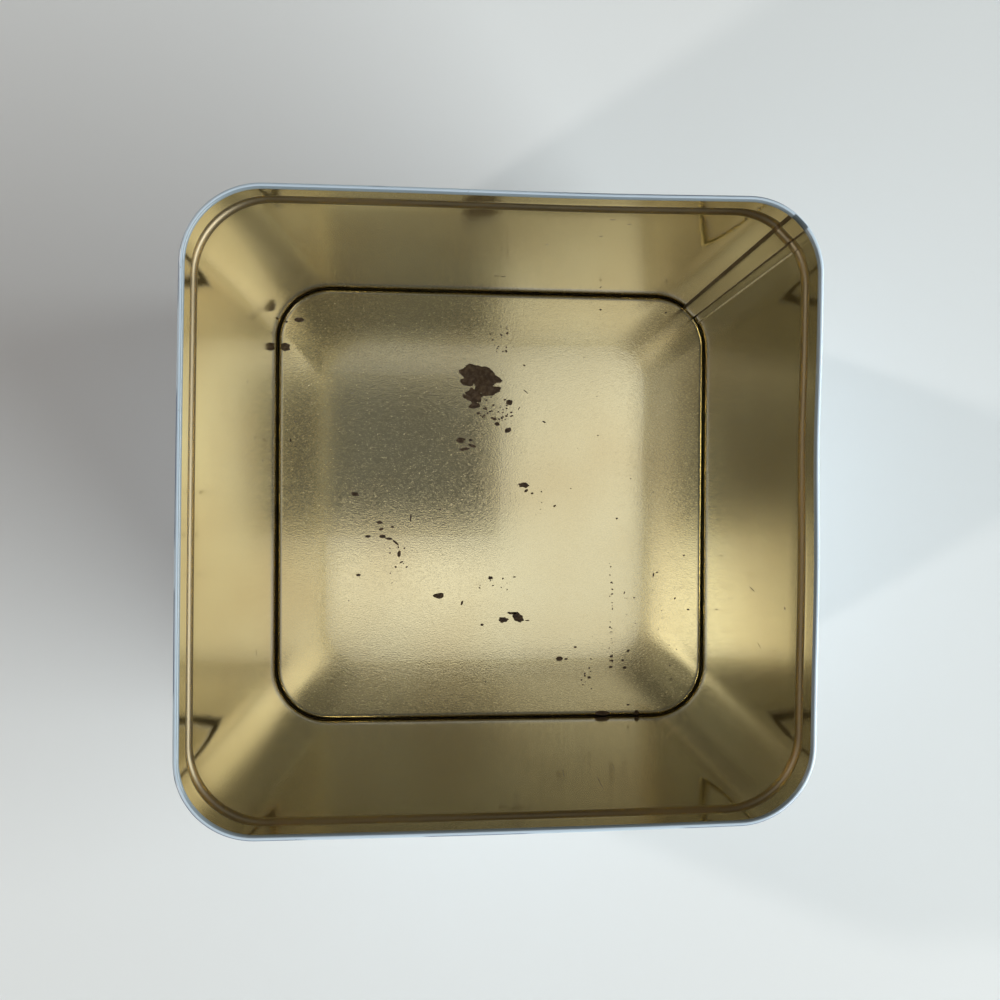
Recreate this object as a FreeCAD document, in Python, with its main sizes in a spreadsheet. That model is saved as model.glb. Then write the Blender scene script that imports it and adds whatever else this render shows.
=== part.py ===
# Square tin box, open at the top: a folded tinplate body with a curled rim, a lid-stop bead and a
# lock seam down one corner, closed below by a recessed end that is double-seamed to the body.
# Millimetres, +Z up. The origin lies under the middle of the box, in the plane that it stands on.

import FreeCAD, Part
import Sketcher
import math
import os
from FreeCAD import Placement, Rotation, Vector

# alias, value, what it is
DIMENSIONS = [
    ("side_width", 130.0, "outer face to outer face of the straight body walls"),
    ("total_height", 102.0, "standing plane to the top of the rim curl"),
    ("corner_radius", 16.0, "outer radius of the upright corners"),
    ("sheet", 0.28, "thickness of the tinplate"),
    ("curl_diameter", 1.2, "outside diameter of the inward curl at the rim"),
    ("curl_turn", 285.0, "degrees that the curl goes round"),
    ("neck_depth", 7.2, "rim top to the upper edge of the bead"),
    ("bead_height", 5.6, "bead, measured up the wall"),
    ("bead_depth", 1.15, "how far the bead stands out of the wall"),
    ("fold_width", 3.7, "width of the lock seam's folded strip"),
    ("fold_round", 0.4, "rounding along the strip's folded edge"),
    ("fold_gap", 0.15, "free height between the strip and the curl above it"),
    ("slit_width", 0.3, "open slit where the sheet dives into the fold"),
    ("slit_depth", 0.12, "depth of that slit"),
    ("panel_recess", 3.3, "standing plane to the underside of the end panel"),
    ("shoulder_radius", 1.3, "bend from the end panel into its chuck wall"),
    ("hook_height", 3.0, "height of the double seam"),
    ("seam_gap", 0.05, "clearance between neighbouring layers of the double seam"),
]


class Size:
    """A length or angle, kept both as a number and as the sheet formula that gives it."""

    def __init__(self, value, formula):
        self.value = value
        self.formula = formula

    def combine(self, other, sign, value):
        formula = other.formula if isinstance(other, Size) else repr(other)
        return Size(value, "(" + self.formula + " " + sign + " " + formula + ")")

    def __add__(self, other):
        return self.combine(other, "+", self.value + number(other))

    def __sub__(self, other):
        return self.combine(other, "-", self.value - number(other))

    def __mul__(self, other):
        return self.combine(other, "*", self.value * number(other))

    def __truediv__(self, other):
        return self.combine(other, "/", self.value / number(other))

    def __neg__(self):
        return self * -1


def number(size):
    return size.value if isinstance(size, Size) else size


def sine(angle):
    return Size(math.sin(math.radians(angle.value)), "sin(" + angle.formula + ")")


def arctangent(ratio):
    return Size(math.degrees(math.atan(ratio.value)), "atan(" + ratio.formula + ")")


def root(area):
    return Size(math.sqrt(area.value), "sqrt(" + area.formula + ")")


def degrees(size):
    """The same number, read by the sheet as an angle."""
    return Size(size.value, "(" + size.formula + " * 1 deg)")


def fill_sheet(doc):
    sheet = doc.addObject("Spreadsheet::Sheet", "dims")
    sizes = {}
    for row, (alias, value, note) in enumerate(DIMENSIONS, start=1):
        sheet.set("A%d" % row, alias)
        sheet.set("B%d" % row, str(value))
        sheet.set("C%d" % row, note)
        sheet.setAlias("B%d" % row, alias)
        sizes[alias] = Size(value, "dims." + alias)
    doc.recompute()
    return sizes


def bind(thing, path, size):
    thing.setExpression(path, size.formula)


def place(thing, x, y, z, rotation):
    """Puts a sketch in space, with each coordinate that is a size bound to the sheet."""
    corner = Vector(number(x), number(y), number(z))
    thing.Placement = Placement(corner, rotation)
    for axis, size in (("x", x), ("y", y), ("z", z)):
        if isinstance(size, Size):
            bind(thing, "Placement.Base." + axis, size)


def chain(doc, name, start, heading, steps, closed=False):
    """A sketch of lines and arcs in a row, with every size bound to the sheet.

    A step is ("line", length), ("arc", radius, turn) or ("corner", turn), with a turn in degrees
    that is positive to the left. Neighbours are tangent, or square to each other at a corner.
    A closed chain leaves its last sizes to the join with its start.
    """
    sketch = doc.addObject("Sketcher::SketchObject", name)
    point = Vector(number(start[0]), number(start[1]), 0)
    angle = math.radians(heading)
    drawn = []
    square = set()

    for step in steps:
        if step[0] == "corner":
            angle += math.radians(step[1])
            square.add(len(drawn))
            continue
        if step[0] == "line":
            end = point + Vector(math.cos(angle), math.sin(angle), 0) * number(step[1])
            sketch.addGeometry(Part.LineSegment(point, end))
            drawn.append((step, 1, 2))
        else:
            reach = number(step[1])
            turn = math.radians(number(step[2]))
            side = 1 if turn > 0 else -1
            to_centre = Vector(-math.sin(angle), math.cos(angle), 0) * (side * reach)
            first = math.atan2(-to_centre.y, -to_centre.x)
            last = first + turn
            circle = Part.Circle(point + to_centre, Vector(0, 0, 1), reach)
            sketch.addGeometry(Part.ArcOfCircle(circle, min(first, last), max(first, last)))
            end = point + to_centre + Vector(math.cos(last), math.sin(last), 0) * reach
            drawn.append((step, 1, 2) if side > 0 else (step, 2, 1))
            angle += turn
        point = end

    def constrain(amount, *what):
        index = sketch.addConstraint(Sketcher.Constraint(*what))
        if isinstance(amount, Size):
            bind(sketch, "Constraints[%d]" % index, amount)

    def join(before, after):
        ends = (before, drawn[before][2], after, drawn[after][1])
        if after in square:
            sketch.addConstraint(Sketcher.Constraint("Coincident", *ends))
            sketch.addConstraint(Sketcher.Constraint("Perpendicular", before, after))
        else:
            sketch.addConstraint(Sketcher.Constraint("Tangent", *ends))

    lines = [index for index, (step, _, _) in enumerate(drawn) if step[0] == "line"]
    closes_square = len(drawn) in square
    if not closed:
        left_free = set()
    elif closes_square:
        left_free = set(lines[-2:])
    else:
        left_free = set(range(lines[-1], len(drawn)))

    if drawn[0][0][0] == "line":
        sketch.addConstraint(Sketcher.Constraint("Vertical" if heading % 180 else "Horizontal", 0))
    constrain(start[0], "DistanceX", 0, drawn[0][1], number(start[0]))
    constrain(start[1], "DistanceY", 0, drawn[0][1], number(start[1]))
    for index, (step, _, _) in enumerate(drawn):
        if index:
            join(index - 1, index)
        if index in left_free:
            continue
        if step[0] == "line":
            constrain(step[1], "Distance", index, number(step[1]))
        else:
            turn = step[2] if number(step[2]) > 0 else -step[2]
            constrain(step[1], "Radius", index, number(step[1]))
            constrain(turn, "Angle", index, math.radians(number(turn)))
    if closed and closes_square:
        last = len(drawn) - 1
        sketch.addConstraint(Sketcher.Constraint("Coincident", last, drawn[last][2], 0, drawn[0][1]))
    elif closed:
        join(len(drawn) - 1, 0)
    return sketch


def thicken(doc, name, line, thickness, folds):
    """The sheet's section: the line and its parallel, whose folds are an "Arc" or sharp."""
    band = doc.addObject("Part::Offset2D", name)
    band.Source = line
    band.Mode = "Skin"
    band.Join = folds
    band.Fill = True
    band.Value = thickness.value
    bind(band, "Value", thickness)
    return band


def sweep(doc, name, section, spine):
    pipe = doc.addObject("Part::Sweep", name)
    pipe.Sections = [section]
    pipe.Spine = (spine, [])
    pipe.Solid = True
    pipe.Frenet = False
    return pipe


def combine(doc, kind, name, base, tool):
    both = doc.addObject("Part::" + kind, name)
    both.Base = base
    both.Tool = tool
    both.Refine = True
    return both


def rounded_square(doc, name, reach, bend):
    """A closed outline round the Z axis that starts where the +X side meets its front corner."""
    side = [("line", (reach - bend) * 2), ("arc", bend, 90)]
    return chain(doc, name, (reach, bend - reach), 90, side * 4, closed=True)


doc = FreeCAD.newDocument("square_tin")
size = fill_sheet(doc)
sheet = size["sheet"]
gap = size["seam_gap"]
half = size["side_width"] / 2
radius = size["corner_radius"]
upright = Rotation(Vector(1, 0, 0), 90)
to_corner = Rotation(Vector(0, 0, 1), 45)

# the double seam: the body's hook stands in the end's, and neither touches the other
inside_hook = gap * 2 + sheet
hook_floor = sheet * 2 + gap
hook_roof = size["hook_height"] - sheet

# the end fits inside the body sheet with one clearance, and its panel starts past its shoulder
chuck_face = half - sheet - gap
panel_top = size["panel_recess"] + sheet
panel_edge = chuck_face - size["shoulder_radius"]

# the bead is an S of three arcs, whose slope follows from its height and its depth
slope = arctangent(size["bead_depth"] * 2 / size["bead_height"]) * 2
mid_radius = size["bead_height"] / 4 / sine(slope)
bead_bottom = size["total_height"] - size["neck_depth"] - size["bead_height"]


def bead(inset):
    """The bead's arcs along a line that runs inset inside the outer face."""
    hollow = mid_radius - sheet / 2 + inset
    crest = mid_radius + sheet / 2 - inset
    return [("arc", hollow, -slope), ("arc", crest, slope * 2), ("arc", hollow, -slope)]


def make_formed_sheet():
    """The body sheet in one section, swept round the box: hook, wall, bead, neck and rim curl."""
    curl_radius = size["curl_diameter"] / 2
    line = chain(doc, "wall_outer_line", (half + inside_hook, hook_roof - gap), -90, [
        ("line", hook_roof - gap - hook_floor),
        ("corner", -90),
        ("line", inside_hook),
        ("corner", -90),
        ("line", bead_bottom - hook_floor),
        *bead(sheet * 0),
        ("line", size["neck_depth"] - curl_radius),
        ("arc", curl_radius, degrees(size["curl_turn"])),
    ])
    place(line, 0, radius - half, 0, upright)
    section = thicken(doc, "wall_section", line, sheet, "Intersection")
    return sweep(doc, "formed_sheet", section, rounded_square(doc, "wall_spine", half, radius))


def make_lock_seam(formed_sheet):
    """Folds the seam down one corner: a flat strip of two more sheets inside, a slit outside."""
    root_two = math.sqrt(2)
    inner_corner = (half - radius) * root_two + radius - sheet
    foot = panel_top
    top_run = size["neck_depth"] - size["curl_diameter"] - size["fold_gap"]
    path = chain(doc, "seam_path", (inner_corner, foot), 90, [
        ("line", bead_bottom - foot),
        *bead(sheet),
        ("line", top_run),
    ])
    path.Placement = Placement(Vector(), to_corner * upright)

    bite = sheet / 3  # how deep the strip is sunk into the sheet that carries it
    rise = sheet * 2
    fold = size["fold_round"]
    width = size["fold_width"]
    strip_section = chain(doc, "seam_section", (bite, -width / 2), 180, [
        ("line", rise + bite - fold),
        ("arc", fold, -90),
        ("line", width - fold),
        ("corner", -90),
        ("line", rise + bite),
        ("corner", -90),
        ("line", width),
        ("corner", -90),
    ], closed=True)
    slit = size["slit_width"]
    aside = width / 2 - slit / 2
    fall = radius - root(radius * radius - aside * aside)  # how far the round corner falls away there
    slit_floor = sheet - fall - size["slit_depth"]
    slit_section = chain(doc, "slit_section", (slit_floor, width / 2 - slit), 0, [
        ("line", sheet),
        ("corner", 90),
        ("line", slit),
        ("corner", 90),
        ("line", sheet),
        ("corner", 90),
        ("line", slit),
        ("corner", 90),
    ], closed=True)
    for section in (strip_section, slit_section):
        place(section, inner_corner / root_two, inner_corner / root_two, foot, to_corner)

    strip = sweep(doc, "seam_strip", strip_section, path)
    cutter = sweep(doc, "seam_slit", slit_section, path)
    folded = combine(doc, "Fuse", "folded_sheet", formed_sheet, strip)
    return combine(doc, "Cut", "body", folded, cutter)


def make_end():
    """The end: a flat panel whose edge bends down, under the body's hook and in behind it."""
    shoulder = size["shoulder_radius"]
    line = chain(doc, "end_inner_line", (panel_edge, panel_top), 0, [
        ("arc", shoulder, -90),
        ("line", panel_top - shoulder - sheet),
        ("corner", 90),
        ("line", sheet * 3 + gap * 4),
        ("corner", 90),
        ("line", hook_roof - sheet),
        ("corner", 90),
        ("line", inside_hook),
        ("corner", 90),
        ("line", hook_roof - hook_floor - gap),
    ])
    place(line, 0, radius - half, 0, upright)
    section = thicken(doc, "end_section", line, sheet, "Arc")
    edge_radius = radius - (half - panel_edge)
    outline = rounded_square(doc, "panel_outline", panel_edge, edge_radius)
    rim = sweep(doc, "end_rim", section, outline)

    panel = doc.addObject("Part::Extrusion", "end_panel")
    panel.Base = outline
    panel.DirMode = "Custom"
    panel.Dir = Vector(0, 0, 1)
    panel.Solid = True
    bind(panel, "LengthFwd", sheet)
    place(panel, 0, 0, size["panel_recess"], Rotation())
    return combine(doc, "Fuse", "end", rim, panel)


def write_parts(doc, nodes):
    """Checks the whole document, then writes each node under its label."""
    doc.recompute()
    for thing in doc.Objects:
        if "Invalid" in thing.State or "Error" in thing.State:
            raise SystemExit(thing.Name + " failed: " + ", ".join(thing.State))
    for node in nodes:
        if node.Shape.isNull() or not node.Shape.isValid():
            raise SystemExit(node.Label + " has no valid shape")
        if len(node.Shape.Solids) != 1:
            raise SystemExit(node.Label + " is not one solid")
    os.makedirs("parts", exist_ok=True)
    for node in nodes:
        node.Shape.exportStep("parts/" + node.Label + ".step")
        box = node.Shape.BoundBox
        print("%s: %.1f mm3, %.2f x %.2f x %.2f mm" % (
            node.Label, node.Shape.Volume, box.XLength, box.YLength, box.ZLength))


body = make_lock_seam(make_formed_sheet())
body.Label = "tin_body"
end = make_end()
end.Label = "tin_end"
write_parts(doc, [body, end])
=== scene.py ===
import bpy
import bmesh
import math
import random
from mathutils import Matrix, Vector


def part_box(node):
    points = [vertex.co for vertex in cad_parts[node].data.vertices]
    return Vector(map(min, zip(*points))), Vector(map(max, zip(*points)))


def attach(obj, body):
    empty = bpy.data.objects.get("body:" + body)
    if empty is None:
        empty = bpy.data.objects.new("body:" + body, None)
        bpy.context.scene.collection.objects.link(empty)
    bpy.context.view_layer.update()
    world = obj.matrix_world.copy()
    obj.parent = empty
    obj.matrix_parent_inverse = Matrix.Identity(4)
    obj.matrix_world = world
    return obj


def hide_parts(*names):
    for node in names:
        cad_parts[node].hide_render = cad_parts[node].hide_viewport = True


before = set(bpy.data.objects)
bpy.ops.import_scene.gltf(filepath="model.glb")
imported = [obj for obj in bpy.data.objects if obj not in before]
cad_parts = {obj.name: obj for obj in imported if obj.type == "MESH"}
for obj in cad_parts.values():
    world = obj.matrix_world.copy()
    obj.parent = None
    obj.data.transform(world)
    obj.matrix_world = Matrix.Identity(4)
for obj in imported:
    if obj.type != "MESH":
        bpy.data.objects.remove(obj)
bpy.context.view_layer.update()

# the tin is modelled in millimetres and shrunk to metres when its mesh is written
perMetre = 1000
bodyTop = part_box("tin_body")[1] * perMetre
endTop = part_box("tin_end")[1] * perMetre

tin = {
    "height": bodyTop.z,
    "seamReach": endTop.x,      # middle of the box to the outside of the double seam
    "panelTop": endTop.z,
    "panelRise": 0.58,          # how far the panel stands above the double seam
    "corner": 16.0,
    "sheet": 0.28,
    "seamGap": 0.05,
    "sideSteps": 28,
    "cornerSteps": 20,
    "weld": 0.002,              # points closer than this are one
}
tin["half"] = tin["seamReach"] - 3 * tin["sheet"] - 3 * tin["seamGap"]


class Wire:
    # one socket of a node tree, so that shader maths reads as arithmetic
    def __init__(self, tree, socket):
        self.tree = tree
        self.socket = socket

    def node(self, kind, settings, values, output=0):
        made = self.tree.nodes.new(kind)
        stops = settings.pop("stops", None)
        for name, setting in settings.items():
            setattr(made, name, setting)
        if stops:
            ramp = made.color_ramp.elements
            while len(ramp) < len(stops):
                ramp.new(1.0)
            for stop, (place, colour) in zip(ramp, stops):
                stop.position = place
                stop.color = (*colour, 1.0)
        for name, value in values.items():
            if isinstance(value, Wire):
                self.tree.links.new(value.socket, made.inputs[name])
            else:
                made.inputs[name].default_value = value
        return Wire(self.tree, made.outputs[output])

    def maths(self, operation, first, second):
        return self.node("ShaderNodeMath", {"operation": operation}, {0: first, 1: second})

    def __add__(self, other):
        return self.maths("ADD", self, other)

    def __radd__(self, other):
        return self.maths("ADD", other, self)

    def __sub__(self, other):
        return self.maths("SUBTRACT", self, other)

    def __rsub__(self, other):
        return self.maths("SUBTRACT", other, self)

    def __mul__(self, other):
        return self.maths("MULTIPLY", self, other)

    def __rmul__(self, other):
        return self.maths("MULTIPLY", other, self)

    def __truediv__(self, other):
        return self.maths("DIVIDE", self, other)

    def size(self):
        return self.node("ShaderNodeMath", {"operation": "ABSOLUTE"}, {0: self})

    def root(self):
        return self.node("ShaderNodeMath", {"operation": "SQRT"}, {0: self})

    def rise(self, low, high):
        # 0 below low, 1 above high, smooth between
        return self.node("ShaderNodeMapRange", {"interpolation_type": "SMOOTHSTEP", "clamp": True},
                         {"Value": self, "From Min": low, "From Max": high, "To Min": 0.0, "To Max": 1.0})

    def fall(self, low, high):
        return 1 - self.rise(low, high)

    def scaled(self, amounts):
        return self.node("ShaderNodeVectorMath", {"operation": "MULTIPLY"}, {0: self, 1: amounts})

    def attribute(self, name):
        # a number stored on the mesh
        return self.node("ShaderNodeAttribute", {"attribute_name": name}, {}, output="Fac")

    def axis(self, name):
        return self.node("ShaderNodeSeparateXYZ", {}, {0: self}, output=name)

    def noise(self, scale, detail=3.0, roughness=0.5):
        return self.node("ShaderNodeTexNoise", {"noise_dimensions": "3D"},
                         {"Vector": self, "Scale": scale, "Detail": detail, "Roughness": roughness})

    def ramp(self, *stops):
        return self.node("ShaderNodeValToRGB", {"stops": stops}, {"Fac": self})

    def paint(self, colour, share):
        # this colour, with a share of the other one mixed in
        return self.node("ShaderNodeMix", {"data_type": "RGBA"},
                         {0: share, 6: self, 7: (*colour, 1.0)}, output=2)

    def brightened(self, factor):
        return self.node("ShaderNodeVectorMath", {"operation": "SCALE"}, {0: self, "Scale": factor})


def newMaterial(name):
    made = bpy.data.materials.new(name)
    made.use_nodes = True
    tree = made.node_tree
    place = tree.nodes.new("ShaderNodeTexCoord")
    millimetres = Wire(tree, place.outputs["Object"]).scaled((perMetre, perMetre, perMetre))
    return made, tree.nodes["Principled BSDF"], millimetres


def connect(shader, links, values):
    tree = shader.id_data
    for name, wire in links.items():
        tree.links.new(wire.socket, shader.inputs[name])
    for name, value in values.items():
        shader.inputs[name].default_value = value


def bumped(height, strength, distance, under=None):
    values = {"Height": height, "Strength": strength, "Distance": distance}
    if under:
        values["Normal"] = under
    return height.node("ShaderNodeBump", {}, values)


body = {
    "neckDepth": 8.0,       # top of the curl down to the bead
    "beadHeight": 5.1,
    "beadDepth": 0.95,
    "curlRadius": 0.6,
    "curlTurn": 285,
    "foldRadius": 0.08,
    "hookSteps": 2,
    "foldSteps": 3,
    "wallSteps": 16,
    "beadSteps": 8,
    "neckSteps": 5,
    "curlSteps": 26,
}
beadTop = tin["height"] - body["neckDepth"]
beadBottom = beadTop - body["beadHeight"]

end = {
    "shoulder": 1.3,        # rounding from the panel down into the crevice
    "foldRadius": 0.1,
    "shoulderSteps": 10,
    "foldSteps": 4,
    "creviceSteps": 3,      # down the crevice, and up the outside of the hook
    "hookSteps": 2,
    "panelRings": 12,
    "firstRing": 0.99,
}

lacquer = {
    "gold": (0.740, 0.640, 0.366),
    "brown": (0.685, 0.568, 0.307),
    "pale": (0.775, 0.690, 0.414),
    "creviceDark": (0.075, 0.052, 0.018),     # dark brown in the crevice round the panel
    "beadShade": (0.26, 0.210, 0.140),     # painted shade: the bead's band darkened brown to stand in for the dark room it mirrors
    "paleShoulder": (0.42, 0.41, 0.385),         # painted reflection: the panel's rounded shoulder greyed, so the bright line it mirrors shows pale instead of orange
    "paleShoulderInner": (1.7, 2.0),
    "paleShoulderOuter": (0.9, 1.05),
    "cloudScale": 0.022,
    "mottleScale": 0.35,
    "fleckGrain": (1.5, 2.8, 1.5),
    "fleckBand": (0.40, 0.74),
    "fleckDull": 0.44,                  # roughness that the flecks add
    "mottleDull": 0.05,
    "creviceDarkDull": 0.35,
    "beadShadeDull": 0.28,
    "cover": 0.9,                       # how fully the crevice's dark brown and the bead's painted shade hide the gold
    "paleShoulderCover": 0.85,
    "blotch": 0.35,
    "rolledRelief": 0.9,
    "mottleRelief": 0.05,
    "creviceDarkMetal": 0.6,                  # how much of the metal's look the crevice's dark brown takes
    "coat": 0.9,
}

wallFinish = {
    "roughness": 0.10,
    "grain": (1.5, 1.5, 3.6),           # noise scale along each axis
    "relief": 0.000015,
    "flecked": 0.12,
    "creviceDark": (3.1, 4.3),                # height over which the crevice's dark ends
}

panelFinish = {
    "roughness": 0.068,
    "grain": (1.8, 3.6, 1.0),
    "relief": 0.00002,
    "flecked": 0.5,
    "creviceDark": (tin["panelTop"] - 0.55, tin["panelTop"] - 0.12),
}


def goldLacquer(name, finish):
    # satin gold lacquer over rolled tinplate
    made, shader, place = newMaterial(name)
    creviceDarkLow, creviceDarkTop = finish["creviceDark"]
    cloud = place.noise(lacquer["cloudScale"], 2.0)
    mottle = place.noise(lacquer["mottleScale"], 4.0, 0.6)
    rolled = place.scaled(finish["grain"]).noise(1.0, 2.0, 0.55)
    fleck = place.scaled(lacquer["fleckGrain"]).noise(1.0, 4.0, 0.7)
    height = place.axis("Z")
    inset = place.attribute("inset")
    # darker, duller and less metallic low down, in the crevice round the panel
    ragged = (mottle - 0.5) * (creviceDarkTop - creviceDarkLow)
    creviceDark = (height + ragged).fall(creviceDarkLow, creviceDarkTop)
    # painted shade over the band of the bead
    beadShade = height.rise(beadBottom - 0.3, beadBottom + 0.2) * height.fall(beadTop - 0.2, beadTop + 0.2)
    # painted reflection: grey over the top of the panel's rounded shoulder
    paleShoulderMask = inset.rise(*lacquer["paleShoulderOuter"]) * inset.fall(*lacquer["paleShoulderInner"])
    colour = cloud.ramp((0.30, lacquer["brown"]), (0.50, lacquer["gold"]), (0.72, lacquer["pale"]))
    colour = colour.paint(lacquer["brown"], mottle.rise(0.55, 0.85) * lacquer["blotch"])
    colour = colour.brightened(1 + (fleck - 0.5) * finish["flecked"])
    colour = colour.paint(lacquer["creviceDark"], creviceDark * lacquer["cover"])
    # painted shade on the bead
    colour = colour.paint(lacquer["beadShade"], beadShade * lacquer["cover"])
    colour = colour.paint(lacquer["paleShoulder"], paleShoulderMask * (1 - creviceDark) * lacquer["paleShoulderCover"])
    roughness = finish["roughness"] + (mottle - 0.5) * lacquer["mottleDull"]
    roughness = roughness + fleck.rise(*lacquer["fleckBand"]) * finish["flecked"] * lacquer["fleckDull"]
    roughness = roughness + creviceDark * lacquer["creviceDarkDull"] + beadShade * lacquer["beadShadeDull"]
    surface = bumped(rolled, lacquer["rolledRelief"], finish["relief"])
    surface = bumped(mottle, lacquer["mottleRelief"], 0.0001, surface)
    connect(shader, {
        "Base Color": colour,
        "Roughness": roughness,
        "Metallic": 1 - creviceDark * lacquer["creviceDarkMetal"],
        "Coat Weight": (1 - beadShade * lacquer["cover"]) * lacquer["coat"],
        "Normal": surface,
    }, {
        "Coat Roughness": finish["roughness"] * 0.7,
    })
    return made


paint = {
    "light": (0.55, 0.66, 0.76),
    "dark": (0.50, 0.62, 0.73),
    "navy": (0.035, 0.07, 0.17),
    "teal": (0.035, 0.052, 0.058),
    "steel": (0.22, 0.24, 0.25),
    "rimBelow": (1.1, 0.7),         # band round the rim curl, chipped by wear and with painted shade on its inward side, measured down from the top of the curl
    "seamSide": (60.0, 70.0),       # out along the diagonal to the corner with the lock seam
    "notch": (1.7, 2.1),            # half the width of the dark patch on the curl at the seam
    "slit": 1.7,                    # how far the open edge lies beside the diagonal
    "slitWidth": (0.10, 0.18),
    "slitFoot": (4.0, 4.4),
    "outerLine": (0.26, 0.38),      # in from the outer wall
    # painted shade: how far in the curl's inward side is darkened
    "curlUndersideShade": (0.70, 0.90),
    "notchEdge": (0.25, 0.45),
    "outside": (0.1, 0.2),
    "cloudScale": 0.03,
    "speckScale": 1.1,
    "dashScale": 0.045,
}


def blueEnamel(name):
    # light blue enamel over the outside and round the rim curl, with navy dashes along the rim's outer edge
    made, shader, place = newMaterial(name)
    cloud = place.noise(paint["cloudScale"], 2.0)
    speck = place.noise(paint["speckScale"], 3.0, 0.6)
    dashes = place.noise(paint["dashScale"], 1.0).rise(0.47, 0.53)
    height = place.axis("Z")
    inset = place.attribute("inset")
    aside = (place.axis("Y") - place.axis("X")) * math.sqrt(0.5)
    cornerward = place.axis("Y") + place.axis("X")
    seamed = cornerward.rise(*paint["seamSide"])
    rim = height.rise(*(tin["height"] - below for below in paint["rimBelow"]))
    outerLine = rim * inset.fall(*paint["outerLine"]) * dashes
    # painted shade on the curl's inward side, which faces into the box
    curlUndersideShade = rim * inset.rise(*paint["curlUndersideShade"])
    notch = rim * inset.rise(*paint["notchEdge"]) * seamed * aside.size().fall(*paint["notch"])
    slit = seamed * inset.fall(*paint["outside"]) * (aside - paint["slit"]).size().fall(*paint["slitWidth"])
    slit = slit * (1 - rim) * height.rise(*paint["slitFoot"])
    chips = rim * speck.rise(0.70, 0.74)
    colour = cloud.ramp((0.35, paint["dark"]), (0.65, paint["light"]))
    colour = colour.paint(paint["navy"], outerLine * 0.8)
    # painted shade
    colour = colour.paint(paint["teal"], curlUndersideShade * 0.7)
    colour = colour.paint(paint["teal"], notch * 0.95)
    colour = colour.paint(paint["navy"], slit * 0.9)
    colour = colour.paint(paint["steel"], chips * 0.8)
    connect(shader, {
        "Base Color": colour,
        "Roughness": 0.34 + (speck - 0.5) * 0.12,
        "Normal": bumped(speck, 0.08, 0.0001),
    }, {
        "Coat Weight": 0.4,
        "Coat Roughness": 0.12,
    })
    return made


def bareTinplate(name):
    # bright rolled tinplate, as on the outside of the end
    made, shader, place = newMaterial(name)
    cloud = place.noise(0.05, 3.0)
    rolled = place.scaled((0.1, 3.0, 3.0)).noise(1.0, 2.0)
    connect(shader, {
        "Base Color": cloud.ramp((0.3, (0.50, 0.50, 0.49)), (0.7, (0.63, 0.63, 0.62))),
        "Roughness": 0.30 + (rolled - 0.5) * 0.2,
        "Normal": bumped(rolled, 0.2, 0.00003),
    }, {"Metallic": 1.0})
    return made


def darkResidue(name):
    # burnt-on brown flakes
    made, shader, place = newMaterial(name)
    grain = place.noise(0.9, 5.0, 0.65)
    connect(shader, {
        "Base Color": grain.ramp((0.42, (0.075, 0.050, 0.042)), (0.64, (0.190, 0.142, 0.126))),
        "Roughness": 0.55 + (grain - 0.5) * 0.3,
        "Normal": bumped(grain, 0.5, 0.0002),
    }, {})
    return made


def paintedLightLacquer(name, dark, light, metallic):
    # lacquer painted darker or lighter: painted shade along the seam's folds, painted highlight on its
    # crease
    made, shader, place = newMaterial(name)
    mottle = place.noise(0.8, 4.0, 0.6)
    connect(shader, {
        "Base Color": mottle.ramp((0.35, dark), (0.70, light)),
        "Normal": bumped(mottle, 0.2, 0.0001),
    }, {
        "Metallic": metallic,
        "Roughness": 0.32,
    })
    return made


bodyGold = goldLacquer("goldLacquerWall", wallFinish)
endGold = goldLacquer("goldLacquerPanel", panelFinish)
enamel = blueEnamel("blueEnamel")
tinplate = bareTinplate("bareTinplate")
residue = darkResidue("darkResidue")
# painted shade: dark brown on the seam's folded step and along its open ledge
foldShade = paintedLightLacquer("foldPaintedShade", (0.115, 0.078, 0.040), (0.20, 0.150, 0.090), 0.8)
# painted highlight: pale lacquer along the crease at the open side's far edge
creaseShine = paintedLightLacquer("creasePaintedHighlight", (0.60, 0.54, 0.40), (0.85, 0.79, 0.62), 0.3)
print("materials made")


upright = Vector((0, 0, 1))
acrossSection = Vector((0, 1, 0))


def lastVerts(spun):
    return [part for part in spun["geom_last"] if isinstance(part, bmesh.types.BMVert)]


def traceLine(mesh, start, heading, steps):
    # draws a section in the XZ plane at start.y, as straights and arcs that follow one another
    tip = mesh.verts.new(start)
    angle = math.radians(heading)
    for step in steps:
        along = Vector((math.cos(angle), 0, math.sin(angle)))
        if step[0] == "straight":
            _, length, pieces = step
            spun = bmesh.ops.spin(mesh, geom=[tip], cent=tip.co, axis=upright,
                                  dvec=along * (length / pieces), angle=0, steps=pieces)
        else:
            _, radius, turn, pieces = step
            side = math.copysign(1, turn)
            toCentre = Vector((-math.sin(angle), 0, math.cos(angle))) * (side * radius)
            spun = bmesh.ops.spin(mesh, geom=[tip], cent=tip.co + toCentre, axis=-acrossSection,
                                  dvec=(0, 0, 0), angle=math.radians(turn), steps=pieces)
            angle += math.radians(turn)
        tip = lastVerts(spun)[0]


def sweepRound(mesh, half, corner, sideSteps, cornerSteps):
    # takes the section round the rounded square, from the start of the +X side back to itself
    section = mesh.verts[:] + mesh.edges[:]
    straight = half - corner
    for quarter in range(4):
        turn = Matrix.Rotation(math.radians(90 * quarter), 3, "Z")
        along = turn @ Vector((0, 2 * straight / sideSteps, 0))
        section = bmesh.ops.spin(mesh, geom=section, cent=(0, 0, 0), axis=upright,
                                 dvec=along, angle=0, steps=sideSteps)["geom_last"]
        centre = turn @ Vector((straight, straight, 0))
        section = bmesh.ops.spin(mesh, geom=section, cent=centre, axis=upright,
                                 dvec=(0, 0, 0), angle=math.radians(90), steps=cornerSteps)["geom_last"]
    bmesh.ops.remove_doubles(mesh, verts=mesh.verts, dist=tin["weld"])


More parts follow.
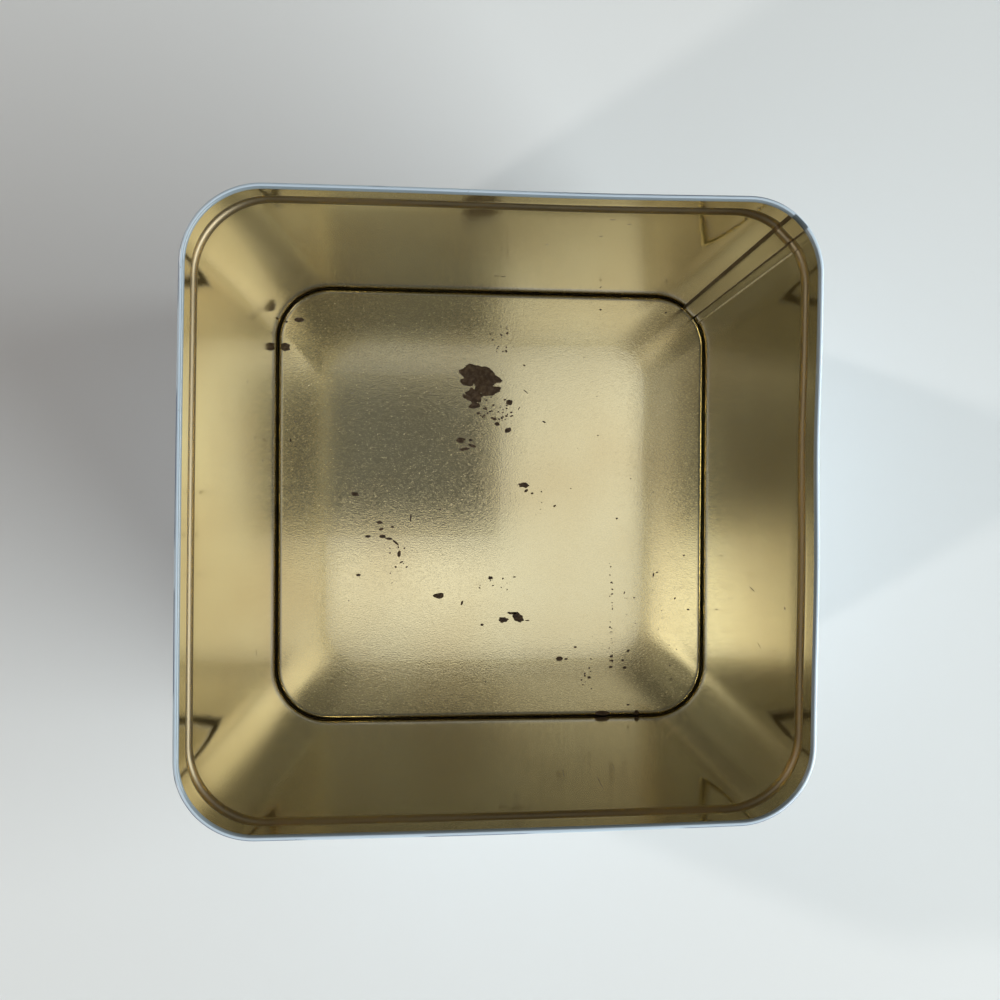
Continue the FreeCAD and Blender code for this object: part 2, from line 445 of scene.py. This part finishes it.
# damage to the mouth; a bow is given by its depth, where it is deepest and how wide it is
racked = {
    "skew": 0.49,            # how far the mouth leans towards its seam corner, each way
    "top": (0.40, 20, 34),
    "bottom": 0.40,
    "left": 0.25,
    "rightIn": (0.36, 15, 15),
    "rightOut": (0.16, -17, 14),
    "upward": 1.6,           # power with which it grows from the foot to the mouth
    "outward": 4,            # power with which a bow keeps to its own side
}


def bell(place, middle, width):
    return math.exp(-((place - middle) / width) ** 2)


def rackMouth(mesh):
    # the open mouth is knocked slightly out of square and its sides bow; the seamed end stays true
    half = tin["half"]
    straight = half - tin["corner"]
    inset = mesh.verts.layers.float.new("inset")
    for vert in mesh.verts:
        x, y, z = vert.co
        past = Vector((max(0.0, abs(x) - straight), max(0.0, abs(y) - straight)))
        vert[inset] = half - max(abs(x), abs(y), straight + past.length)
        rise = max(0.0, z / tin["height"]) ** racked["upward"]
        depth, middle, width = racked["top"]
        pull = Vector((racked["skew"] * y / half, racked["skew"] * x / half, 0))
        flatX = max(0.0, 1 - (x / half) ** 2)
        flatY = max(0.0, 1 - (y / half) ** 2)
        nearX = min(1.0, abs(x) / half) ** racked["outward"]
        nearY = min(1.0, abs(y) / half) ** racked["outward"]
        if y > 0:
            pull.y -= depth * bell(x, middle, width) * flatX * nearY
        else:
            pull.y -= racked["bottom"] * flatX * nearY
        if x < 0:
            pull.x -= racked["left"] * flatY * nearX
        else:
            depth, middle, width = racked["rightIn"]
            pull.x -= depth * bell(y, middle, width) * flatY * nearX
            depth, middle, width = racked["rightOut"]
            pull.x += depth * bell(y, middle, width) * flatY * nearX
        vert.co += pull * rise


def placeMesh(mesh, name, materials):
    data = bpy.data.meshes.new(name)
    mesh.to_mesh(data)
    mesh.free()
    for material in materials:
        data.materials.append(material)
    piece = bpy.data.objects.new(name, data)
    bpy.context.scene.collection.objects.link(piece)
    return piece


def shrinkToMetres(mesh):
    shrink = 1 / perMetre
    bmesh.ops.scale(mesh, vec=(shrink, shrink, shrink), verts=mesh.verts)


def finishPiece(mesh, name, materials, smoothAngle=None):
    rackMouth(mesh)
    shrinkToMetres(mesh)
    piece = placeMesh(mesh, name, materials)
    piece.data.shade_smooth()
    if smoothAngle:
        piece.data.set_sharp_from_angle(angle=math.radians(smoothAngle))
    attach(piece, "root")
    return piece


def addSheet(piece, thickness):
    wall = piece.modifiers.new("sheet", "SOLIDIFY")
    wall.thickness = thickness / perMetre
    wall.offset = -1
    wall.use_even_offset = True
    wall.material_offset = 1
    wall.material_offset_rim = 1


def faceOutwards(mesh, probe, outward):
    # turns the shell over if the face nearest the probe point looks the wrong way
    bmesh.ops.recalc_face_normals(mesh, faces=mesh.faces)
    mesh.faces.ensure_lookup_table()
    nearest = min(mesh.faces, key=lambda face: (face.calc_center_median() - probe).length)
    if nearest.normal.dot(outward) < 0:
        bmesh.ops.reverse_faces(mesh, faces=mesh.faces)


# the double seam: the body's hook lies inside the end's
inHook = 2 * tin["seamGap"] + tin["sheet"]
hookFloor = 2 * tin["sheet"] + tin["seamGap"]
hookRoof = tin["panelTop"] - tin["panelRise"] - tin["sheet"]
beadSlope = 2 * math.degrees(math.atan(2 * body["beadDepth"] / body["beadHeight"]))
beadRadius = body["beadHeight"] / 4 / math.sin(math.radians(beadSlope))


def beadArcs(inset, pieces):
    hollow = beadRadius - tin["sheet"] / 2 + inset
    crest = beadRadius + tin["sheet"] / 2 - inset
    return [("arc", hollow, -beadSlope, pieces), ("arc", crest, 2 * beadSlope, 2 * pieces),
            ("arc", hollow, -beadSlope, pieces)]


def makeBody():
    mesh = bmesh.new()
    start = Vector((tin["half"] + inHook, tin["corner"] - tin["half"], hookRoof - tin["seamGap"]))
    fold = body["foldRadius"]
    traceLine(mesh, start, -90, [
        ("straight", hookRoof - tin["seamGap"] - hookFloor - fold, body["hookSteps"]),
        ("arc", fold, -90, body["foldSteps"]),
        ("straight", inHook - 2 * fold, 1),
        ("arc", fold, -90, body["foldSteps"]),
        ("straight", beadBottom - hookFloor - fold, body["wallSteps"]),
        *beadArcs(0, body["beadSteps"]),
        ("straight", body["neckDepth"] - body["curlRadius"], body["neckSteps"]),
        ("arc", body["curlRadius"], body["curlTurn"], body["curlSteps"]),
    ])
    sweepRound(mesh, tin["half"], tin["corner"], tin["sideSteps"], tin["cornerSteps"])
    faceOutwards(mesh, Vector((tin["half"], 0, tin["height"] / 2)), Vector((1, 0, 0)))
    piece = finishPiece(mesh, "formedBody", [enamel, bodyGold])
    addSheet(piece, tin["sheet"])
    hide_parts("tin_body")


def makeEnd():
    mesh = bmesh.new()
    sheet = tin["sheet"]
    gap = tin["seamGap"]
    fold = end["foldRadius"]
    shoulder = end["shoulder"]
    panelEdge = tin["half"] - sheet - gap - shoulder
    panelTop = tin["panelTop"]
    foldUp = ("arc", fold, 90, end["foldSteps"])
    traceLine(mesh, Vector((panelEdge, tin["corner"] - tin["half"], panelTop)), 0, [
        ("arc", shoulder, -90, end["shoulderSteps"]),
        ("straight", panelTop - shoulder - sheet - fold, end["creviceSteps"]),
        foldUp,
        ("straight", 3 * sheet + 4 * gap - 2 * fold, 1),
        foldUp,
        ("straight", hookRoof - sheet - 2 * fold, end["creviceSteps"]),
        foldUp,
        ("straight", inHook - 2 * fold, 1),
        foldUp,
        ("straight", hookRoof - hookFloor - gap - fold, end["hookSteps"]),
    ])
    sweepRound(mesh, tin["half"], tin["corner"], tin["sideSteps"], tin["cornerSteps"])
    # the panel is closed by rings that grow inwards from its edge
    justBelow = panelTop - 0.01
    rim = [edge for edge in mesh.edges if edge.is_boundary and edge.verts[0].co.z > justBelow]
    rings = end["panelRings"]
    for ring in range(rings):
        reach = (rings - ring) / rings * end["firstRing"]
        grown = bmesh.ops.extrude_edge_only(mesh, edges=rim)["geom"]
        rim = [part for part in grown if isinstance(part, bmesh.types.BMEdge) and part.is_boundary]
        verts = list({vert for edge in rim for vert in edge.verts})
        shrink = reach * panelEdge / max(vert.co.x for vert in verts)
        bmesh.ops.scale(mesh, vec=(shrink, shrink, 1), verts=verts)
    bmesh.ops.contextual_create(mesh, geom=rim)
    faceOutwards(mesh, Vector((0, 0, panelTop)), upright)
    piece = finishPiece(mesh, "seamedEnd", [endGold, tinplate])
    addSheet(piece, sheet)
    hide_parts("tin_end")


makeBody()
makeEnd()
print("sheet pieces made")


seam = {
    "width": 3.7,
    "rise": 0.56,
    "shoulder": 0.85,     # the rounded step on the folded side
    "ledge": 0.38,        # narrow step on the open side
    "ledgeRise": 0.17,
    "flangeRise": 0.34,
    "facet": 2.5,         # flat that the folding tool leaves on the open side
    "crease": 0.35,       # ridge where that flat ends, painted pale as a highlight
    "sunk": 0.1,          # how far the strip reaches into the body sheet
    "curlGap": 0.15,
    "sharpAngle": 28,
}


def cornerFall(aside):
    # how far the round corner comes in towards the middle, beside its diagonal
    radius = tin["corner"] - tin["sheet"]
    return radius - math.sqrt(radius * radius - aside * aside)


def makeSeam():
    mesh = bmesh.new()
    inner = (tin["half"] - tin["corner"]) * math.sqrt(2) + tin["corner"] - tin["sheet"]
    foot = tin["panelTop"] - 0.5
    half = seam["width"] / 2
    rise = seam["rise"]
    ledge = seam["ledgeRise"]
    flange = seam["flangeRise"]
    sunk = seam["sunk"]
    outer = half + seam["shoulder"]
    far = half + seam["facet"]
    creaseStart = far - seam["crease"]
    # across the seam: distance aside, distance in from the corner's own surface at the diagonal
    across = [
        (-outer - 0.15, cornerFall(outer) - sunk),
        (-outer, cornerFall(outer) + 0.02),
        (-half - 0.8, cornerFall(half + 0.8) + 0.06),
        (-half - 0.45, cornerFall(half + 0.45) + 0.14),
        (-half - 0.15, rise - 0.09),
        (-half + 0.1, rise),
        (-half / 2, rise),
        (half / 2, rise),
        (half - 0.08, rise),
        (half, rise - 0.08),
        (half, ledge),
        (half + seam["ledge"], ledge + 0.01),
        (half + seam["ledge"] + 0.08, flange),
        (half + seam["facet"] / 2, (flange + cornerFall(far)) / 2 + 0.05),
        (creaseStart, cornerFall(creaseStart) + 0.10),
        (far, cornerFall(far) + 0.16),
        (far + 0.25, cornerFall(far) - sunk),
        (half, -sunk),
        (-half, -sunk),
    ]
    traceLine(mesh, Vector((inner, 0, foot)), 90, [
        ("straight", beadBottom - foot, body["wallSteps"]),
        *beadArcs(tin["sheet"], body["beadSteps"]),
        ("straight", body["neckDepth"] - 2 * body["curlRadius"] - seam["curlGap"], body["neckSteps"]),
    ])
    section = mesh.verts[:] + mesh.edges[:]
    first = across[0]
    bmesh.ops.translate(mesh, verts=mesh.verts, vec=(-first[1], -first[0], 0))
    for here, there in zip(across, across[1:] + across[:1]):
        step = Vector((here[1] - there[1], here[0] - there[0], 0))
        section = bmesh.ops.spin(mesh, geom=section, cent=(0, 0, 0), axis=upright,
                                 dvec=step, angle=0, steps=1)["geom_last"]
    bmesh.ops.remove_doubles(mesh, verts=mesh.verts, dist=tin["weld"])
    bmesh.ops.holes_fill(mesh, edges=mesh.edges, sides=0)
    foldShadeSlot = 1
    creaseHighlightSlot = 2
    for face in mesh.faces:
        middle = face.calc_center_median()
        aside = -middle.y
        # painted shade along the folded side's rounded step and the open side's ledge
        if -outer < aside < -half or half < aside < half + seam["ledge"] + 0.04:
            face.material_index = foldShadeSlot
        # painted highlight on the crease
        elif creaseStart < aside < far and middle.z < beadBottom:
            face.material_index = creaseHighlightSlot
    toCorner = Matrix.Rotation(math.radians(45), 3, "Z")
    bmesh.ops.rotate(mesh, cent=(0, 0, 0), matrix=toCorner, verts=mesh.verts)
    bmesh.ops.recalc_face_normals(mesh, faces=mesh.faces)
    finishPiece(mesh, "lockSeam", [bodyGold, foldShade, creaseShine], seam["sharpAngle"])


makeSeam()
print("lock seam made")


# burnt flakes: across, up, length, width in millimetres from the middle of the panel, and turn in degrees
flakes = {
    "seed": 7,
    "thickness": 0.05,
    "layer": 0.012,         # each blob of the big patch stands this much above the one before
    "speckThickness": 0.04,
    "sunk": 0.01,
    "shift": (-1.4, 0.2),
    "turn": 0.006,
    "grow": 1.005,
    "spread": 0.0003,
    "sharpAngle": 30,
    "patch": [
        (-3.0, 39.0, 12.6, 6.0, -14), (-6.6, 37.2, 4.4, 2.8, 0), (-2.2, 36.2, 5.2, 4.6, 0),
        (-0.1, 34.5, 6.8, 3.2, 4), (-4.6, 32.9, 5.0, 4.6, -20), (-4.5, 29.9, 3.5, 1.8, 6),
        (-7.3, 32.7, 1.8, 1.3, -30),
    ],
    "large": [
        (6.0, 30.9, 2.1, 1.7, 0), (5.6, 22.5, 2.3, 1.4, 15), (1.3, 26.0, 1.8, 0.9, -20),
        (2.3, 24.4, 1.6, 1.2, 0), (-8.7, 19.5, 2.7, 1.7, 5), (-5.7, 19.5, 1.2, 0.6, -10),
        (-7.5, 16.8, 3.3, 0.9, 12), (-5.2, 17.8, 2.4, 1.0, -25), (-40.6, 3.2, 2.3, 1.3, -10),
        (10.4, 5.9, 3.2, 1.6, -5), (11.1, 4.2, 1.4, 0.8, 30), (-32.3, -9.6, 2.0, 1.1, 0),
        (-30.4, -10.3, 2.4, 0.7, -5), (-28.3, -11.5, 2.2, 0.7, -40), (-27.3, -14.9, 2.0, 1.1, 80),
        (-33.2, -5.4, 1.9, 0.9, 0), (-36.7, -9.6, 1.7, 0.8, 0), (-39.6, -21.3, 1.4, 0.8, 0),
        (-15.3, -27.6, 3.2, 1.8, 0), (0.3, -22.2, 1.5, 1.0, 0), (4.2, -34.9, 3.0, 1.7, 0),
        (8.6, -34.1, 4.0, 2.6, -35), (6.8, -32.9, 3.0, 0.8, -4), (11.5, -35.1, 1.4, 0.4, 0),
        (21.2, -46.7, 2.1, 1.5, 0), (-57.4, 55.9, 3.0, 1.4, 0), (-61.6, 47.7, 2.8, 2.6, 0),
        (34.2, -63.2, 4.4, 1.5, 0), (44.6, -63.0, 1.6, 1.5, 0),
    ],
    "small": [
        (-3.3, 27.6, 1.2, 0.8, 0), (5.1, 26.8, 0.8, 0.7, 0), (6.7, 26.8, 1.1, 0.5, 15),
        (6.6, 27.9, 0.8, 0.5, 0), (10.5, 42.1, 0.8, 0.5, -15), (16.5, 25.0, 1.2, 0.5, -25),
        (-23.8, -4.0, 2.6, 0.45, 85), (-29.3, -6.7, 1.0, 0.6, 0), (-32.7, -7.4, 1.4, 0.8, 20),
        (-26.6, -17.4, 1.2, 0.5, 20), (-8.3, -29.8, 1.5, 0.7, 70), (7.6, -21.9, 1.0, 0.4, 0),
        (-2.2, -36.4, 1.0, 0.8, 0), (12.9, 3.4, 0.8, 0.7, 0), (19.7, -0.4, 1.0, 0.6, 30),
        (38.5, -4.2, 0.7, 0.6, 0), (-14.9, -1.5, 0.8, 0.4, 0), (40.8, -26.7, 0.9, 0.4, 70),
        (49.6, -21.3, 1.4, 0.5, 80), (50.7, -20.5, 0.9, 0.4, 0), (56.1, -28.4, 0.8, 0.5, 60),
        (60.1, -31.8, 0.9, 0.5, 0), (58.8, -15.4, 0.7, 0.5, 0), (23.2, -46.8, 1.2, 0.6, 0),
        (26.0, -43.2, 1.1, 0.6, 0), (42.0, -44.3, 1.1, 0.7, 40), (40.3, -47.2, 0.9, 0.6, 0),
        (40.9, -49.4, 1.3, 0.8, 0), (30.2, -52.4, 1.1, 0.8, 0), (42.0, -60.7, 1.0, 0.5, 0),
        (36.9, -46.0, 1.2, 0.7, 0), (36.8, -47.3, 1.3, 0.4, 0), (36.7, -49.2, 1.2, 0.8, 0),
        (-61.3, 55.3, 1.0, 0.6, 0), (-60.1, 19.5, 1.2, 0.4, 80), (33.5, 58.9, 0.8, 0.5, 0),
        (53.2, 58.0, 0.7, 0.5, 0), (10.9, 34.2, 2.2, 0.25, -36), (8.9, 29.1, 1.2, 0.3, 60),
    ],
    # specks scattered in a patch: across, up, spread across, spread up, how many, largest size
    "specks": [
        (1.5, 29.0, 4.2, 3.8, 38, 0.85), (2.8, 50.0, 3.0, 3.8, 22, 0.8),
        (36.8, -33.0, 0.5, 16.0, 26, 0.85), (-29.0, -18.0, 4.0, 6.0, 10, 0.8),
        (1.5, -24.0, 4.5, 2.2, 10, 0.8), (29.5, -50.0, 2.0, 7.0, 10, 0.75),
        (57.0, -48.0, 3.0, 6.0, 6, 0.7), (12.0, 0.0, 4.0, 7.0, 6, 0.55),
        (-59.0, 25.0, 3.0, 14.0, 9, 0.6), (46.0, -36.0, 7.0, 12.0, 10, 0.5),
        (0.0, 0.0, 58.0, 58.0, 30, 0.6),
    ],
}

# outline points of each kind of flake, and how ragged they are
blob = {
    "patchDetail": 64,
    "largeDetail": 36,
    "smallDetail": 14,
    "markDetail": 12,
    "speckDetail": 8,
    "waves": 4,
    "swell": (0.02, 0.09),
    "lobes": (2, 7),
    "jitter": (0.94, 1.06),
    "topShrink": 0.94,
}


def addBlob(mesh, chance, across, up, length, width, turn, thickness, detail):
    # one ragged flake, flat on the XY plane
    made = bmesh.ops.create_circle(mesh, cap_ends=True, segments=detail, radius=0.5)["verts"]
    waves = []
    for _ in range(blob["waves"]):
        swell = chance.uniform(*blob["swell"])
        lobes = chance.randint(*blob["lobes"])
        waves.append((swell, lobes, chance.uniform(0, math.tau)))
    for vert in made:
        angle = math.atan2(vert.co.y, vert.co.x)
        reach = 1 + sum(swell * math.sin(lobes * angle + phase) for swell, lobes, phase in waves)
        vert.co *= reach * chance.uniform(*blob["jitter"])
    face = made[0].link_faces[0]
    grown = bmesh.ops.extrude_face_region(mesh, geom=[face])["geom"]
    raised = [part for part in grown if isinstance(part, bmesh.types.BMVert)]
    bmesh.ops.scale(mesh, vec=(blob["topShrink"], blob["topShrink"], 1), verts=raised)
    bmesh.ops.translate(mesh, vec=(0, 0, thickness), verts=raised)
    whole = made + raised
    bmesh.ops.scale(mesh, vec=(length, width, 1), verts=whole)
    turned = Matrix.Rotation(math.radians(turn), 3, "Z")
    bmesh.ops.rotate(mesh, cent=(0, 0, 0), matrix=turned, verts=whole)
    bmesh.ops.translate(mesh, vec=(across, up, 0), verts=whole)
    return whole


def settled(across, up):
    # where a flake lies on the panel
    shiftX, shiftY = flakes["shift"]
    grown = flakes["grow"] + flakes["spread"] * across
    return across * grown - flakes["turn"] * up + shiftX, up * grown + flakes["turn"] * across + shiftY


def makeFlakes():
    mesh = bmesh.new()
    chance = random.Random(flakes["seed"])
    thickness = flakes["thickness"]
    for number, (across, up, *form) in enumerate(flakes["patch"]):
        layered = thickness + flakes["layer"] * number
        addBlob(mesh, chance, *settled(across, up), *form, layered, blob["patchDetail"])
    for across, up, *form in flakes["large"]:
        addBlob(mesh, chance, *settled(across, up), *form, thickness, blob["largeDetail"])
    for across, up, *form in flakes["small"]:
        addBlob(mesh, chance, *settled(across, up), *form, thickness, blob["smallDetail"])
    for across, up, spreadAcross, spreadUp, count, largest in flakes["specks"]:
        for _ in range(count):
            length = largest * chance.uniform(0.4, 1.0)
            speckAcross = across + chance.uniform(-1, 1) * spreadAcross
            speckUp = up + chance.uniform(-1, 1) * spreadUp
            width = length * chance.uniform(0.4, 0.9)
            turn = chance.uniform(-40, 40)
            addBlob(mesh, chance, *settled(speckAcross, speckUp), length, width, turn,
                    flakes["speckThickness"], blob["speckDetail"])
    bmesh.ops.translate(mesh, vec=(0, 0, tin["panelTop"] - flakes["sunk"]), verts=mesh.verts)
    bmesh.ops.recalc_face_normals(mesh, faces=mesh.faces)
    finishPiece(mesh, "darkFlakes", [residue], flakes["sharpAngle"])


# scuffs on the walls: wall, along it, height, length, width, turn from level
marks = {
    "seed": 11,
    "thickness": 0.03,
    "sunk": 0.005,
    "sharpAngle": 30,
    "walls": {"right": 0, "top": 90, "left": 180, "bottom": 270},
    "list": [
        ("top", -0.4, 25.6, 1.5, 0.5, 0), ("top", 1.6, 25.0, 1.4, 0.6, -8),
        ("top", 23.4, 83.8, 1.3, 0.35, 0), ("top", 27.7, 80.5, 1.0, 0.3, 0),
        ("top", 22.8, 70.0, 0.9, 0.3, 10), ("top", 10.7, 61.4, 0.8, 0.3, 0),
        ("top", 30.7, 14.4, 2.6, 0.3, 85), ("left", 32.1, 42.2, 1.0, 0.25, 0),
        ("left", 18.0, 33.3, 1.2, 0.25, 0), ("left", 12.3, 23.7, 0.9, 0.3, 0),
        ("bottom", -50.0, 73.0, 1.2, 0.8, 20), ("right", -22.6, 80.8, 0.9, 0.5, 60),
        ("right", -20.6, 55.4, 4.6, 0.22, 80), ("bottom", 16.0, 62.0, 7.0, 0.12, 88),
        ("bottom", 24.0, 70.0, 9.0, 0.12, 91), ("bottom", 29.0, 58.0, 6.0, 0.12, 87),
        ("right", -34.0, 62.0, 3.0, 0.15, 70), ("left", -40.0, 30.0, 2.4, 0.2, 30),
    ],
}


def makeMarks():
    mesh = bmesh.new()
    chance = random.Random(marks["seed"])
    standUp = Matrix.Rotation(math.radians(-90), 3, "X")
    for wall, along, height, length, width, turn in marks["list"]:
        verts = addBlob(mesh, chance, 0, 0, length, width, turn, marks["thickness"], blob["markDetail"])
        # stood up with its face outwards, turned to its own wall and pushed against it
        bmesh.ops.rotate(mesh, cent=(0, 0, 0), matrix=standUp, verts=verts)
        quarter = marks["walls"][wall]
        toWall = Matrix.Rotation(math.radians(quarter + 90), 3, "Z")
        outward = Matrix.Rotation(math.radians(quarter), 3, "Z") @ Vector((1, 0, 0))
        place = (along, 0) if wall in ("top", "bottom") else (0, along)
        reach = tin["half"] - tin["sheet"] + marks["sunk"]
        bmesh.ops.rotate(mesh, cent=(0, 0, 0), matrix=toWall, verts=verts)
        bmesh.ops.translate(mesh, vec=outward * reach + Vector((*place, height)), verts=verts)
    bmesh.ops.recalc_face_normals(mesh, faces=mesh.faces)
    finishPiece(mesh, "wallScuffs", [residue], marks["sharpAngle"])


makeFlakes()
makeMarks()
print("flakes and scuffs made")


stage = {
    "eye": (-7.98, 3.74, 191.9),      # from the middle of the mouth, in millimetres
    "tilt": (0.40, -4.93, 0.355),
    "lens": 34.3,
    "sensor": 36,
    "shift": -0.0499,
    "clip": 0.01,
    "floorRadius": 5,
    "floorColour": (0.74, 0.77, 0.78),
    "floorRoughness": 0.7,
    # a card held above the box, left of the middle: its two corners and its height
    "cardLow": (-105, -23),
    "cardHigh": (11.5, 76),
    "cardHeight": 300,
    "cardColour": (0.23, 0.23, 0.24),
    "cardRoughness": 0.9,
    # name, place and size in metres, watts, colour
    "lamps": [
        ("window", (2.26, -0.82, 1.10), (3.2, 1.2), 131.0, (0.97, 1.02, 1.015)),
        ("lampLeft", (-1.65, 0.59, 1.00), (0.10, 0.10), 9.0, (1.0, 0.93, 0.875)),
        ("lampFarLeft", (-1.48, -0.91, 1.00), (0.10, 0.10), 9.0, (1.0, 0.93, 0.875)),
    ],
}

# the room by direction: across and up as seen from below, each edge given by where it starts and ends
room = {
    "ceiling": 0.19,
    "panelGlow": 0.74,              # bright field of the ceiling between its far, near and left edges
    "farSlant": 0.20,
    "farEdge": (0.06, 0.26),
    "nearSlant": 0.50,
    "nearEdge": (-0.29, -0.10),
    "leftEdge": (-0.30, -0.15),
    "dim": 0.10,
    "dimUp": (0.20, 0.30),
    "dimAcross": (-0.05, 0.15),
    # soft bright patches of the ceiling: across, up, width, depth, strength
    "glows": [
        (-0.25, -0.14, 0.10, 0.105, 1.4), (-0.30, 0.23, 0.07, 0.06, 0.55),
        (-0.06, -0.10, 0.10, 0.07, 0.32), (0.17, 0.09, 0.05, 0.06, 0.12),
        (-0.15, -0.40, 0.20, 0.09, 0.45), (0.27, 0.03, 0.08, 0.12, 0.26),
    ],
    "glowEdge": (0.35, 1.45),
    "walls": 0.22,
    "wallsBrighter": 0.08,          # added towards the window
    "wallsAcross": (-0.6, 0.9),
    "ceilingFrom": (0.80, 0.95),
    "mirrored": (0.97, 0.985, 1.0),
    "diffuse": (0.20, 0.155, 0.12),
}


def makeCamera():
    data = bpy.data.cameras.new("camera")
    data.sensor_width = stage["sensor"]
    data.lens = stage["lens"]
    data.shift_x = stage["shift"]
    data.clip_start = stage["clip"]
    camera = bpy.data.objects.new("camera", data)
    bpy.context.scene.collection.objects.link(camera)
    tiltX, tiltY, tiltZ = (math.radians(angle) for angle in stage["tilt"])
    look = Matrix.Rotation(tiltZ, 3, "Z") @ Matrix.Rotation(tiltY, 3, "Y") @ Matrix.Rotation(tiltX, 3, "X")
    down = Matrix.Diagonal((1, -1, -1))
    toCamera = down @ look @ down
    eye = Vector(stage["eye"]) + Vector((0, 0, tin["height"]))
    camera.matrix_world = Matrix.Translation(eye / perMetre) @ toCamera.transposed().to_4x4()
    bpy.context.scene.camera = camera


def plainMaterial(name, colour, roughness):
    made, shader, _ = newMaterial(name)
    connect(shader, {}, {"Base Color": (*colour, 1), "Roughness": roughness})
    return made


def makeFloor():
    mesh = bmesh.new()
    bmesh.ops.create_circle(mesh, cap_ends=True, segments=64, radius=stage["floorRadius"])
    pale = plainMaterial("paleTable", stage["floorColour"], stage["floorRoughness"])
    floor = placeMesh(mesh, "floor", [pale])


def makeCard():
    # flat and dark, held in the air: it shows only by its reflection and its shade
    low, high = Vector(stage["cardLow"]), Vector(stage["cardHigh"])
    mesh = bmesh.new()
    bmesh.ops.create_grid(mesh, x_segments=1, y_segments=1, size=0.5)
    bmesh.ops.scale(mesh, vec=(*(high - low), 1), verts=mesh.verts)
    bmesh.ops.translate(mesh, verts=mesh.verts, vec=(*((low + high) / 2), stage["cardHeight"]))
    shrinkToMetres(mesh)
    dark = plainMaterial("darkCard", stage["cardColour"], stage["cardRoughness"])
    card = placeMesh(mesh, "darkCard", [dark])
    card.visible_camera = False


def makeWorld():
    world = bpy.data.worlds.new("room")
    bpy.context.scene.world = world
    world.use_nodes = True
    tree = world.node_tree
    place = tree.nodes.new("ShaderNodeTexCoord")
    look = Wire(tree, place.outputs["Generated"])
    lookX = look.axis("X")
    lookY = look.axis("Y")
    overhead = look.axis("Z").rise(*room["ceilingFrom"])
    farEdge = (lookY - lookX * room["farSlant"]).fall(*room["farEdge"])
    nearEdge = (lookY + lookX * room["nearSlant"]).rise(*room["nearEdge"])
    leftEdge = lookX.rise(*room["leftEdge"])
    dimmed = lookY.rise(*room["dimUp"]) * lookX.fall(*room["dimAcross"])
    sky = room["ceiling"] - dimmed * room["dim"] + farEdge * nearEdge * leftEdge * room["panelGlow"]
    for across, up, width, depth, strength in room["glows"]:
        awayX = (lookX - across) / width
        awayY = (lookY - up) / depth
        sky = sky + (awayX * awayX + awayY * awayY).root().fall(*room["glowEdge"]) * strength
    walls = room["walls"] + lookX.rise(*room["wallsAcross"]) * room["wallsBrighter"]
    level = sky * overhead + walls * (1 - overhead)
    # the table and the enamel get a dimmer, warmer light than the one that the metal mirrors
    rays = look.node("ShaderNodeLightPath", {}, {}, output="Is Diffuse Ray")
    colour = look.node("ShaderNodeMix", {"data_type": "RGBA"}, {
        0: rays, 6: (*room["mirrored"], 1), 7: (*room["diffuse"], 1)}, output=2)
    background = tree.nodes["Background"]
    tree.links.new(level.socket, background.inputs["Strength"])
    tree.links.new(colour.socket, background.inputs["Color"])


def addLamp(name, place, size, watts, colour):
    data = bpy.data.lights.new(name, "AREA")
    data.shape = "RECTANGLE"
    data.size, data.size_y = size
    data.energy = watts
    data.color = colour
    lamp = bpy.data.objects.new(name, data)
    bpy.context.scene.collection.objects.link(lamp)
    lamp.location = place
    lamp.rotation_euler = (-Vector(place)).to_track_quat("-Z", "Y").to_euler()


makeCamera()
makeFloor()
for lamp in stage["lamps"]:
    addLamp(*lamp)
makeWorld()
makeCard()
print("stage made")

scene = bpy.context.scene
scene.view_settings.view_transform = "Standard"
